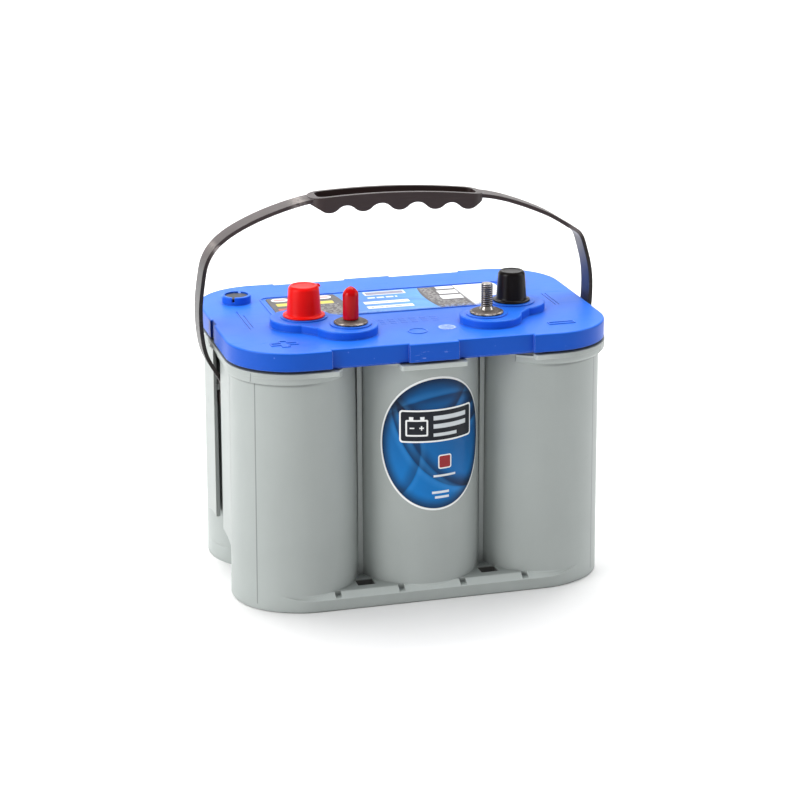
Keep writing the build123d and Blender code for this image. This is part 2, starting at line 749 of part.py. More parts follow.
def make_relief_valve(x, y):
    """Rubber cap that sits over a vent nipple."""
    cap = post(x, y, lid_top + 0.1, valve_top, valve_radius)
    cap = fillet(cap.edges().group_by(Axis.Z)[-1], 1.0)
    return cap - post(x, y, lid_top - 1, nipple_top + 0.1, nipple_radius + 0.02)


# ---------------------------------------------------------------- write every node

def main():
    os.makedirs("parts", exist_ok=True)
    save("case_shell", make_case())
    save("cover", make_cover())
    save("inner_lid", make_inner_lid())
    for number, (x, y) in enumerate(cells(), start=1):
        save(f"relief_valve_{number}", make_relief_valve(x, y))
    make_cells()
    save("positive_terminal", make_terminal(positive_side, positive_post_top_radius, positive_riser_y))
    save("negative_terminal", make_terminal(negative_side, negative_post_top_radius, negative_riser_y))
    save("positive_stud", stud_body(positive_side))
    save("negative_stud", stud_body(negative_side))
    for name, x in (("vent_disc_left", vent_left_x), ("vent_disc_right", vent_right_x)):
        disc = post(x, vent_y, cover_top + 0.2, vent_top - 1.1, vent_disc_radius)
        save(name, chamfer(disc.edges().group_by(Axis.Z)[-1], 0.4))
    save("front_label", make_front_label())
    save("top_label", make_top_label())
    save("round_sticker", post(17.8, -53.4, cover_top, cover_top + 0.2, 6.0))
    save("carry_handle", make_handle())
    cap_foot = pad_top + lift_gap
    save("red_post_cap", make_post_cap(positive_side, positive_post_top_radius, 13.8, 0.85, cap_foot))
    save("black_post_cap", make_post_cap(negative_side, negative_post_top_radius, 12.5, 0.6, cap_foot))
    save("red_stud_cap", make_stud_cap(positive_side))


main()
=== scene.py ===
import math

import bpy
from mathutils import Matrix, Vector


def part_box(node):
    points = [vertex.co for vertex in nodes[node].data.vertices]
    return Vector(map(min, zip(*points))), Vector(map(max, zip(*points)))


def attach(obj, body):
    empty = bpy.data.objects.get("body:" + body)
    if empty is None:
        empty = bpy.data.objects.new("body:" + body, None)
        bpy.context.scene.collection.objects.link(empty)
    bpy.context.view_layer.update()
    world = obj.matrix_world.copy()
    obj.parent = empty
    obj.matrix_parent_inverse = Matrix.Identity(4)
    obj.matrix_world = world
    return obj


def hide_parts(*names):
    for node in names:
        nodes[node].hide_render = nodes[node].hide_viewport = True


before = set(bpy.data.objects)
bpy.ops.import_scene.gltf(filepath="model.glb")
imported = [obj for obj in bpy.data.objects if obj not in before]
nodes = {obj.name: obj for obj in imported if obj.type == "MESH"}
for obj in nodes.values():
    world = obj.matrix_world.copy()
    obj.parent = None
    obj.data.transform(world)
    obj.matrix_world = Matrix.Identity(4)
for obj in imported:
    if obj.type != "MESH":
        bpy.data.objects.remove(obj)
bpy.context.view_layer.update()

# Dimensions shared with the CAD, in millimetres unless a name says otherwise.
POST_Y, STUD_Y = -21.0, -46.3
STUD_RADIUS = 3.97
STUD_NECK_TOP = 187.2
THREAD_PITCH = 1.41
THREAD_DEPTH = 0.62
CELL_Y = -41.2
CELL_FOOT_Z = 0.5
CELL_FOOT_RADIUS, CELL_HEAD_RADIUS = 42.4, 41.3
CELL_MEAN_RADIUS = (CELL_FOOT_RADIUS + CELL_HEAD_RADIUS) / 2
LEDGE_FACE_TOP = 8.0
COLLAR_BOTTOM, RIM_BOTTOM, CASE_TOP = 155.4, 160.2, 163.3
COVER_TOP = 177.0
STICKER = (17.8, -53.4)
LABEL_MIDDLE_Z = 107.7
LABEL_HALF_LENGTH = 38.8
LABEL_HALF_HEIGHT = 45.4
LABEL_SHIFT = 3.2


def middle_x(name):
    """X of the middle of a CAD node, in millimetres."""
    low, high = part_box(name)
    return (low.x + high.x) * 500


POST_X = {-1: middle_x("red_post_cap"), 1: middle_x("black_post_cap")}
STUD_X = {-1: middle_x("positive_stud"), 1: middle_x("negative_stud")}


def colour(red, green, blue):
    """Linear RGBA from display values of 0 to 255."""
    def linear(value):
        value /= 255
        return value / 12.92 if value <= 0.04045 else ((value + 0.055) / 1.055) ** 2.4
    return (linear(red), linear(green), linear(blue), 1.0)


# ---------------------------------------------------------------- material building

class Paint:
    """One procedural material. Its positions, sizes and heights are in millimetres."""

    def __init__(self, name, **surface):
        self.material = bpy.data.materials.new(name)
        self.material.use_nodes = True
        self.tree = self.material.node_tree
        self.shader = self.tree.nodes["Principled BSDF"]
        for socket, value in surface.items():
            self.shader.inputs[socket.replace("_", " ")].default_value = value
        texture = self.add("ShaderNodeTexCoord")
        scaled = self.add("ShaderNodeVectorMath", operation="SCALE")
        scaled.inputs["Scale"].default_value = 1000.0
        self.give(scaled.inputs[0], texture.outputs["Object"])
        self.place = scaled.outputs[0]
        split = self.add("ShaderNodeSeparateXYZ")
        self.give(split.inputs[0], self.place)
        self.x, self.y, self.z = split.outputs

    def add(self, kind, **settings):
        made = self.tree.nodes.new(kind)
        for key, value in settings.items():
            setattr(made, key, value)
        return made

    def give(self, socket, value):
        if isinstance(value, bpy.types.NodeSocket):
            self.tree.links.new(value, socket)
        else:
            socket.default_value = value

    def op(self, kind, *values):
        made = self.add("ShaderNodeMath", operation=kind)
        for socket, value in zip(made.inputs, values):
            self.give(socket, value)
        return made.outputs[0]

    def plus(self, *values):
        total = values[0]
        for value in values[1:]:
            total = self.op("ADD", total, value)
        return total

    def times(self, *values):
        total = values[0]
        for value in values[1:]:
            total = self.op("MULTIPLY", total, value)
        return total

    def most(self, *values):
        total = values[0]
        for value in values[1:]:
            total = self.op("MAXIMUM", total, value)
        return total

    def step(self, value, start, end, low=0.0, high=1.0):
        """Smooth change from low to high as value goes from start to end."""
        made = self.add("ShaderNodeMapRange", interpolation_type="SMOOTHSTEP")
        for socket, number in zip(made.inputs, (value, start, end, low, high)):
            self.give(socket, number)
        return made.outputs[0]

    def noise(self, size, detail=2.0, roughness=0.5, stretch=(1, 1, 1), distortion=0.0):
        """Cloudy pattern of a size, drawn out along the axes by stretch."""
        vector = self.add("ShaderNodeVectorMath", operation="MULTIPLY")
        self.give(vector.inputs[0], self.place)
        vector.inputs[1].default_value = [1 / (size * along) for along in stretch]
        made = self.add("ShaderNodeTexNoise")
        self.give(made.inputs["Vector"], vector.outputs[0])
        settings = {"Scale": 1.0, "Detail": detail, "Roughness": roughness, "Distortion": distortion}
        for socket, value in settings.items():
            made.inputs[socket].default_value = value
        return made.outputs[0]

    def specks(self, size):
        """Distance to the nearest of many scattered points, in units of size."""
        made = self.add("ShaderNodeTexVoronoi")
        self.give(made.inputs["Vector"], self.place)
        made.inputs["Scale"].default_value = 1 / size
        return made.outputs["Distance"]

    def mix(self, factor, first, second):
        made = self.add("ShaderNodeMix", data_type="RGBA")
        self.give(made.inputs[0], factor)
        self.give(made.inputs[6], first)
        self.give(made.inputs[7], second)
        return made.outputs[2]

    def brighten(self, paint, factor):
        """A colour multiplied by a number."""
        made = self.add("ShaderNodeVectorMath", operation="SCALE")
        self.give(made.inputs[0], paint[:3] if isinstance(paint, tuple) else paint)
        self.give(made.inputs["Scale"], factor)
        return made.outputs[0]

    def away(self, value, middle=0.0):
        """Unsigned distance of a value from the middle."""
        return self.op("ABSOLUTE", self.op("SUBTRACT", value, middle) if middle else value)

    def waves(self, value, pitch, start, end):
        """Even stripes, one in each pitch. They turn from 0 to 1 as the sine goes from start to end."""
        return self.step(self.op("SINE", self.times(value, 2 * math.pi / pitch)), start, end)

    def band(self, value, low, high, soft):
        """1 between low and high."""
        return self.times(self.step(value, low - soft, low + soft), self.step(value, high + soft, high - soft))

    def box_mask(self, a, b, a_range, b_range, soft=0.15):
        """1 within a rectangle."""
        return self.times(self.band(a, *a_range, soft), self.band(b, *b_range, soft))

    def panel(self, a, b, middle, half, corner):
        """Distance outside a rounded rectangle, negative within it."""
        reach = []
        for value, centre, size in ((a, middle[0], half[0]), (b, middle[1], half[1])):
            reach.append(self.op("SUBTRACT", self.away(value, centre), size - corner))
        outside = self.length(self.op("MAXIMUM", reach[0], 0.0), self.op("MAXIMUM", reach[1], 0.0))
        inside = self.op("MINIMUM", self.op("MAXIMUM", reach[0], reach[1]), 0.0)
        return self.op("SUBTRACT", self.plus(outside, inside), corner)

    def sheet(self, base, a, b, middle, half, corner, tone, soft):
        """A colour with a plain rounded rectangle painted over it."""
        return self.mix(self.step(self.panel(a, b, middle, half, corner), soft, -soft), base, tone)

    def length(self, a, b):
        return self.op("SQRT", self.plus(self.times(a, a), self.times(b, b)))

    def ring_distance(self, a, b, middle, stretch=1.0):
        """Distance from a point, with the second direction stretched."""
        across = self.op("SUBTRACT", a, middle[0])
        return self.length(across, self.times(self.op("SUBTRACT", b, middle[1]), stretch))

    def stud_distance(self, side):
        """Distance from a stud's axis."""
        return self.ring_distance(self.x, self.y, (STUD_X[side], STUD_Y))

    def rounded(self, radius):
        """Normal that is rounded off over edges, like the small radius of a moulding."""
        made = self.add("ShaderNodeBevel", samples=6)
        made.inputs["Radius"].default_value = radius / 1000
        return made.outputs[0]

    def edges(self, radius, low=0.02, high=0.25):
        """1 along edges, from how far the rounded normal leans from the true one."""
        geometry = self.add("ShaderNodeNewGeometry")
        dot = self.add("ShaderNodeVectorMath", operation="DOT_PRODUCT")
        self.give(dot.inputs[0], self.rounded(radius))
        self.give(dot.inputs[1], geometry.outputs["Normal"])
        return self.step(self.op("SUBTRACT", 1.0, dot.outputs["Value"]), low, high)

    def hollows(self, distance):
        """1 deep in corners and valleys, 0 in the open."""
        made = self.add("ShaderNodeAmbientOcclusion", samples=6)
        made.inputs["Distance"].default_value = distance / 1000
        return self.op("SUBTRACT", 1.0, made.outputs["AO"])

    def bump(self, height, normal=None):
        made = self.add("ShaderNodeBump")
        made.inputs["Strength"].default_value = 1.0
        made.inputs["Distance"].default_value = 0.001
        self.give(made.inputs["Height"], height)
        if normal is not None:
            self.give(made.inputs["Normal"], normal)
        return made.outputs[0]

    def finish(self, base, roughness, normal=None):
        self.give(self.shader.inputs["Base Color"], base)
        self.give(self.shader.inputs["Roughness"], roughness)
        if normal is not None:
            self.give(self.shader.inputs["Normal"], normal)
        return self.material


def moulded_plastic(name, tone, grain, roughness, radius, mottling, wear, shade_and_grime, **surface):
    """Moulded plastic: fine grain, slow cloudiness, paler rubbed edges, painted shade with dust in the hollows and
    faint scuffs.
    """
    paint = Paint(name, **surface)
    cloud = paint.noise(38.0, 4.0, 0.6)
    fine = paint.noise(1.1, 3.0, 0.6)
    scuff = paint.step(paint.noise(5.0, 5.0, 0.62, (6.0, 1.0, 1.2), 0.6), 0.60, 0.72)
    shade = paint.plus(1.0 - mottling, paint.times(cloud, 1.6 * mottling), paint.times(fine, 0.4 * mottling))
    edge = paint.times(paint.edges(radius * 1.6), wear)
    # Painted shade: the hollows are darkened, with a little dust.
    shade_and_dirt = paint.times(paint.step(paint.hollows(9.0), 0.35, 0.95), shade_and_grime)
    base = paint.brighten(tone, paint.times(shade, paint.op("SUBTRACT", 1.0, shade_and_dirt)))
    base = paint.mix(edge, base, colour(235, 238, 240))
    rough = paint.plus(roughness - 0.05, paint.times(cloud, 0.08), paint.times(scuff, 0.12),
                       paint.times(shade_and_dirt, 0.25))
    height = paint.plus(paint.times(fine, grain * 2), paint.times(paint.noise(0.32, 2.0), grain),
                        paint.times(scuff, -grain))
    return paint, base, rough, height


# ---------------------------------------------------------------- materials

def case_paint():
    tone = colour(162, 168, 166)
    paint, base, rough, height = moulded_plastic("case_grey_plastic", tone, 0.012, 0.44, 0.6, 0.06, 0.22, 0.45,
                                                 IOR=1.49, Specular_IOR_Level=0.3)
    z = paint.z
    from_middle, from_axis = paint.away(paint.x), paint.away(paint.y)
    # Mould part lines down the four corner cells and across their collars.
    part_x = paint.op("SUBTRACT", 115.3, paint.times(z, 0.008))
    away = paint.op("ABSOLUTE", paint.op("SUBTRACT", from_middle, part_x))
    line = paint.times(paint.step(away, 0.42, 0.16), paint.band(z, 4.0, 155.0, 0.6))
    collar_line = paint.step(paint.away(from_middle, 117.2), 0.4, 0.15)
    line = paint.most(line, paint.times(collar_line, paint.band(z, 156.2, 162.6, 0.4)))
    line = paint.times(line, paint.step(from_axis, 44.0, 48.0))
    base = paint.mix(paint.times(line, 0.55), base, colour(92, 96, 96))
    # Painted light: the ledge slope and the rim are paler, as if lit from above; the foot is paler towards the
    # bottom.
    lit_ledge = paint.times(paint.band(z, LEDGE_FACE_TOP, 11.4, 0.25), paint.step(from_axis, 79.0, 80.5),
                        paint.step(from_middle, 95.0, 70.0))
    lit_rim = paint.times(paint.band(z, RIM_BOTTOM, 163.4, 0.2), paint.step(from_middle, 96.0, 62.0))
    foot = paint.step(z, 45.0, 4.0)
    lit_and_paler = paint.plus(paint.times(lit_ledge, 0.38), paint.times(lit_rim, 0.30), paint.times(foot, 0.11))
    base = paint.brighten(base, paint.plus(1.0, lit_and_paler))
    # Brown dirt and painted shade darken the drain pockets between the cells.
    pocket_shade_and_dirt = paint.times(paint.step(z, 10.6, 9.8), paint.step(from_axis, 77.0, 75.5),
                         paint.step(from_middle, 98.0, 96.0))
    base = paint.mix(paint.times(pocket_shade_and_dirt, 0.70), base, colour(58, 50, 44))
    # A painted shadow line runs under the collars of the corner cells.
    collar_shadow = paint.times(paint.band(z, 153.6, COLLAR_BOTTOM, 0.7), paint.step(from_middle, 66.0, 86.0),
                        paint.step(from_axis, 14.0, 17.0))
    base = paint.brighten(base, paint.plus(1.0, paint.times(collar_shadow, -0.30)))
    # Painted shade darkens the slot's edges at both ends.
    slot_edge_shade = paint.times(paint.step(from_axis, 12.35, 12.05), paint.step(from_middle, 119.0, 121.0))
    base = paint.mix(paint.times(slot_edge_shade, 0.42), base, colour(70, 70, 68))
    # Slow flow marks of the moulding run up the walls.
    flow = paint.noise(26.0, 3.0, 0.5, (1.0, 1.0, 6.0), 0.8)
    streak = paint.noise(9.0, 2.0, 0.5, (1.0, 1.0, 14.0), 0.3)
    base = paint.brighten(base, paint.plus(0.95, paint.times(flow, 0.07), paint.times(streak, 0.03)))
    height = paint.plus(height, paint.times(line, 0.10), paint.times(flow, 0.05))
    return paint.finish(base, rough, paint.bump(height, paint.rounded(0.6)))


def cover_paint():
    tone = colour(0, 80, 190)
    paint, base, rough, height = moulded_plastic("cover_blue_plastic", tone, 0.008, 0.40, 0.5, 0.08, 0.20, 0.35,
                                                 IOR=1.5, Specular_IOR_Level=0.22)
    # Painted light with a little dust: the upward faces are paler than the sides, as if lit from above.
    upper = paint.step(paint.z, COVER_TOP - 1.1, COVER_TOP)
    upper = paint.times(upper, paint.plus(0.55, paint.times(paint.noise(30.0, 3.0), 0.45)))
    base = paint.mix(upper, base, colour(34, 114, 234))
    shade = paint.step(paint.hollows(22.0), 0.12, 0.75)
    base = paint.mix(paint.times(shade, 0.50), base, colour(0, 52, 178))
    # Circular draw lines round the terminals, and fine rubbed scratches on the middle tab.
    for side in (-1, 1):
        for middle in ((POST_X[side], POST_Y), (STUD_X[side], STUD_Y)):
            ring = paint.ring_distance(paint.x, paint.y, middle)
            wave = paint.op("SINE", paint.times(ring, 3.6))
            near = paint.step(ring, 19.0, 12.0)
            height = paint.plus(height, paint.times(wave, near, 0.006))
    scratch = paint.step(paint.noise(1.6, 4.0, 0.7, (7.0, 1.0, 1.0), 1.2), 0.60, 0.66)
    tab = paint.box_mask(paint.x, paint.z, (-13.0, 11.0), (166.0, 172.5), 1.2)
    front = paint.step(paint.y, -84.0, -86.0)
    mark = paint.times(scratch, tab, front, 0.32)
    base = paint.mix(mark, base, colour(170, 190, 245))
    # A plain hatched panel is moulded in the top between the studs.
    bars = paint.waves(paint.x, 7.2, -0.45, -0.1)
    cross = paint.waves(paint.y, 4.4, -0.3, 0.3)
    hatch = paint.times(paint.box_mask(paint.x, paint.y, (-21.0, 21.0), (-36.0, -22.5), 0.4), bars, cross,
                        paint.step(paint.z, COVER_TOP - 0.2, COVER_TOP))
    base = paint.mix(paint.times(hatch, 0.36), base, colour(8, 78, 212))
    height = paint.plus(height, paint.times(hatch, 0.22))
    spots = paint.times(paint.step(paint.specks(9.0), 0.075, 0.03), 0.22)
    base = paint.mix(spots, base, colour(130, 165, 250))
    return paint.finish(base, rough, paint.bump(height, paint.rounded(0.7)))


def handle_paint():
    tone = colour(54, 41, 40)
    paint, base, rough, height = moulded_plastic("handle_black_plastic", tone, 0.012, 0.36, 0.5, 0.20, 0.22, 0.3,
                                                 IOR=1.5, Specular_IOR_Level=0.35)
    # Painted shade: the flanks are darker than the crown, most of all outside on the left.
    shaded_flank = paint.step(paint.z, 226.0, 212.0)
    outer = paint.step(paint.x, -131.0, -135.0)
    base = paint.brighten(base, paint.plus(1.0, paint.times(shaded_flank, -0.62), paint.times(shaded_flank, outer, -0.16)))
    streak = paint.noise(2.2, 4.0, 0.6, (14.0, 1.0, 1.0))
    base = paint.mix(paint.times(paint.step(streak, 0.52, 0.75), 0.10), base, colour(120, 110, 105))
    # Painted highlights with stress whitening: a broad crease and a sharp kink at each shoulder, the kink brighter
    # on the left, and a rubbed patch by the grip.
    from_middle = paint.away(paint.x)
    bend = paint.step(paint.away(from_middle, 122.0), 9.0, 0.0)
    crease = paint.times(bend, paint.band(paint.z, 221.0, 229.0, 3.0), 0.30)
    cloudy = paint.step(paint.noise(3.0, 3.0), 0.30, 0.60)
    kink_highlight = paint.step(paint.ring_distance(from_middle, paint.z, (123.0, 226.5)), 5.5, 1.0)
    left = paint.step(paint.x, -20.0, -40.0, 0.3, 1.0)
    rubbed = paint.times(paint.band(paint.x, -73.0, -65.0, 4.0), cloudy, 0.42)
    stress_and_highlight = paint.most(crease, paint.times(kink_highlight, cloudy, left, 0.85), rubbed)
    base = paint.mix(stress_and_highlight, base, colour(190, 180, 172))
    height = paint.plus(height, paint.times(streak, 0.015))
    return paint.finish(base, rough, paint.bump(height, paint.rounded(0.6)))


def vinyl_paint(name, tone, roughness, gloss, depth=0.012):
    """Soft cap plastic: a thin gloss coat over slow ripples of a depth."""
    paint, base, rough, height = moulded_plastic(name, tone, depth * 0.5, roughness, 0.3, 0.10, 0.05, 0.35,
                                                 IOR=1.5, Specular_IOR_Level=0.15)
    paint.shader.inputs["Coat Weight"].default_value = gloss
    paint.shader.inputs["Coat Roughness"].default_value = 0.12
    ripple = paint.noise(4.5, 2.0, 0.5, (1.0, 1.0, 2.4))
    height = paint.plus(height, paint.times(ripple, depth * 6))
    return paint.finish(base, rough, paint.bump(height))


def lead_paint():
    paint = Paint("cast_lead", Metallic=1.0)
    cast = paint.noise(2.6, 6.0, 0.62)
    dull = paint.noise(9.0, 3.0, 0.6)
    scratch = paint.step(paint.noise(1.3, 5.0, 0.7, (5.0, 1.0, 1.0), 1.0), 0.56, 0.72)
    # Painted highlight along the edges, broken up by the cast pattern, added to the bright scratches.
    edge = paint.times(paint.edges(0.6, 0.01, 0.12), paint.step(cast, 0.36, 0.62))
    scratch_and_highlight = paint.op("MINIMUM", paint.plus(paint.times(scratch, 0.30), paint.times(edge, 0.6)), 1.0)
    base = paint.mix(dull, colour(72, 65, 62), colour(116, 106, 99))
    # Painted highlight with scuffs on the bevel of each stud pad.
    for side in (-1, 1):
        bevel_highlight = paint.times(paint.band(paint.stud_distance(side), 9.8, 11.4, 0.3), paint.step(cast, 0.42, 0.72))
        scratch_and_highlight = paint.most(scratch_and_highlight, paint.times(bevel_highlight, 0.55))
    base = paint.mix(scratch_and_highlight, base, colour(226, 220, 210))
    rough = paint.plus(0.50, paint.times(cast, 0.14), paint.times(scratch_and_highlight, -0.24))
    height = paint.plus(paint.times(cast, 0.10), paint.times(scratch, -0.03), paint.times(dull, 0.08))
    return paint.finish(base, rough, paint.bump(height, paint.rounded(0.5)))


def steel_paint():
    paint = Paint("turned_stainless", Metallic=1.0)
    turning = paint.op("SINE", paint.times(paint.z, 40.0))
    soil = paint.step(paint.noise(0.9, 5.0, 0.65), 0.48, 0.72)
    # Painted shade: near black in the hollows and the thread roots.
    thread_shade = paint.step(paint.hollows(0.9), 0.25, 0.75)
    # Painted shade darkens the roots of both threads.
    for side in (-1, 1):
        from_axis = paint.stud_distance(side)
        root = paint.times(paint.step(from_axis, STUD_RADIUS - 0.08, STUD_RADIUS - 0.45),
                           paint.step(paint.z, STUD_NECK_TOP - 0.2, STUD_NECK_TOP + 0.8),
                           paint.step(paint.z, 202.6, 201.8))
        near = paint.step(from_axis, 12.0, 11.0)
        thread_shade = paint.most(thread_shade, paint.times(root, near))
    base = paint.mix(paint.times(soil, 0.35), colour(176, 170, 164), colour(104, 96, 88))
    base = paint.mix(paint.times(thread_shade, 0.92), base, colour(12, 9, 7))
    rough = paint.plus(0.20, paint.times(soil, 0.16), paint.times(thread_shade, 0.2))
    height = paint.plus(paint.times(turning, 0.002), paint.times(soil, 0.01))
    return paint.finish(base, rough, paint.bump(height, paint.rounded(0.12)))


def vent_paint():
    tone = colour(52, 56, 66)
    paint, base, rough, height = moulded_plastic("vent_disc_grey", tone, 0.03, 0.6, 0.3, 0.3, 0.1, 0.5)
    pores = paint.step(paint.specks(0.9), 0.34, 0.16)
    base = paint.mix(paint.times(pores, 0.6), base, colour(20, 22, 28))
    height = paint.plus(height, paint.times(pores, -0.08))
    return paint.finish(base, rough, paint.bump(height, paint.rounded(0.3)))


def front_label_paint():
    """Printed film: white border, blue field with soft curved shading, and plain generic marks."""
    paint = Paint("front_label_print", IOR=1.5, Specular_IOR_Level=0.15, Coat_Weight=0.06, Coat_Roughness=0.10)
    turn = paint.op("ARCSINE", paint.op("MINIMUM", paint.times(paint.x, 1 / CELL_MEAN_RADIUS), 0.999))
    s = paint.op("SUBTRACT", paint.times(turn, CELL_MEAN_RADIUS), LABEL_SHIFT)
    z = paint.op("SUBTRACT", paint.z, LABEL_MIDDLE_Z)
    reach = paint.length(paint.times(s, 1 / LABEL_HALF_LENGTH), paint.times(z, 1 / LABEL_HALF_HEIGHT))
    # Field: brighter in the middle and towards the lower left, darker near the border.
    lean = paint.plus(paint.times(s, -0.004), paint.times(z, -0.009))
    field = paint.mix(paint.step(lean, -0.35, 0.45), colour(0, 78, 136), colour(2, 114, 190))
    # Sweeping folds: each is dark along its upper side and fades into the field below it.
    folds = (
        # middle, stretch, radius, fade, strength
        ((2.0, 96.0), 0.95, 74.0, 9.0, 0.85),
        ((12.0, 92.0), 0.72, 60.0, 7.0, 0.80),
        ((-8.0, 78.0), 0.62, 39.0, 5.0, 0.70),
        ((10.0, -70.0), 0.86, 88.0, 5.0, 0.55),
        ((26.0, 40.0), 0.80, 58.0, 8.0, 0.70),
        ((34.0, 66.0), 0.66, 66.0, 6.0, 0.60),
        ((-62.0, -4.0), 1.10, 50.0, 8.0, 0.50),
    )
    for middle, stretch, radius, fade, strength in folds:
        away = paint.op("SUBTRACT", paint.ring_distance(s, z, middle, stretch), radius)
        shadow = paint.times(paint.step(away, -fade, 0.0), paint.step(away, 0.7, 0.0), strength)
        field = paint.mix(shadow, field, colour(0, 22, 52))
        lit = paint.times(paint.step(away, 0.4, 1.6), paint.step(away, 5.5, 1.6), strength * 0.35)
        field = paint.mix(lit, field, colour(60, 150, 222))
    field = paint.mix(paint.step(reach, 0.78, 0.985, 0.0, 0.85), field, colour(1, 16, 36))

    # Generic marks: a framed panel with a pictogram of a cell and plain bars, a plain square and small bars.
    white, ink, pale = colour(238, 240, 240), colour(26, 30, 38), colour(206, 212, 216)
    patches = (
        # middle, half size, corner, tone
        ((1.0, 12.5), (26.5, 11.0), 2.2, white),
        ((1.0, 12.5), (25.4, 9.9), 1.5, ink),
        ((-14.0, 11.4), (7.4, 5.6), 1.0, white),
        ((-14.0, 11.4), (6.3, 4.5), 0.5, ink),
        ((5.0, -12.5), (4.8, 4.8), 1.6, white),
        ((5.0, -12.5), (4.0, 4.0), 1.0, colour(150, 44, 50)),
    )
    for middle, half, corner, tone in patches:
        field = paint.sheet(field, s, z, middle, half, corner, tone, 0.12)
    bars = (
        # across, up, tone, strength
        ((-3.0, 22.0), (16.2, 19.2), pale, 1.0),
        ((-3.0, 22.0), (10.6, 13.6), pale, 1.0),
        ((-3.0, 14.0), (5.2, 7.4), pale, 1.0),
        ((-19.0, -16.2), (17.0, 19.0), white, 1.0),
        ((-11.8, -9.0), (17.0, 19.0), white, 1.0),
        ((-18.6, -15.6), (11.0, 11.8), white, 1.0),
        ((-12.4, -9.4), (11.0, 11.8), white, 1.0),
        ((-11.3, -10.5), (9.9, 12.9), white, 1.0),
        ((-3.0, 13.0), (-22.6, -21.2), white, 0.85),
        ((-4.0, 8.0), (-34.0, -32.4), white, 0.85),
        ((-2.0, 8.0), (-37.4, -35.8), white, 0.85),
    )
    for across, up, tone, strength in bars:
        field = paint.mix(paint.times(paint.box_mask(s, z, across, up), strength), field, tone)
    base = paint.mix(paint.step(reach, 0.968, 0.975), field, white)
    dust = paint.noise(3.0, 4.0, 0.6)
    base = paint.brighten(base, paint.plus(0.96, paint.times(dust, 0.08)))
    rough = paint.plus(0.30, paint.times(dust, 0.08))
    height = paint.plus(paint.times(paint.noise(7.0, 2.0), 0.06), paint.times(paint.noise(0.5, 2.0), 0.003))
    return paint.finish(base, rough, paint.bump(height))


